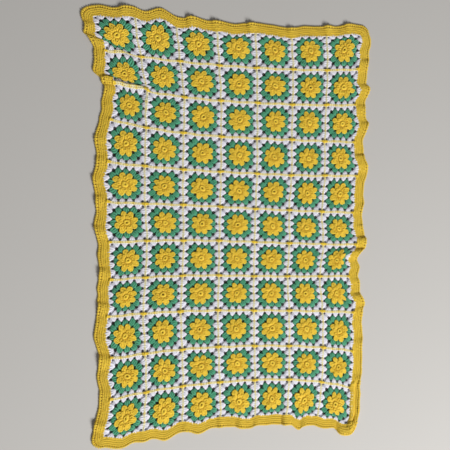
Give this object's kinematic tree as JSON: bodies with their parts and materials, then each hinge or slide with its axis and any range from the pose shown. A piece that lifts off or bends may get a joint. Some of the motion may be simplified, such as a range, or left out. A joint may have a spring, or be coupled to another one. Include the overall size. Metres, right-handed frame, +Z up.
{
  "type": "granny square blanket",
  "caption": "Rectangular crocheted blanket of joined flower squares in a wide yarn border, lying flat with a rippled edge and a creased corner.",
  "frame": {"origin": "on the flat underside, under the middle of the blanket's middle square, at the level of the floor it lies on", "axes": "+X across the blanket to the right as seen from above, +Y along its length to the top edge of the picture, +Z up, out of the flowered face"},
  "size_m": [0.8891, 1.2919, 0.0169],
  "materials": {
    "white_yarn": "matte",
    "yellow_yarn": "matte",
    "green_yarn": "matte"
  },
  "bodies": {
    "root": {"squares_panel": "white_yarn", "border": "yellow_yarn"}
  },
  "joints": []
}
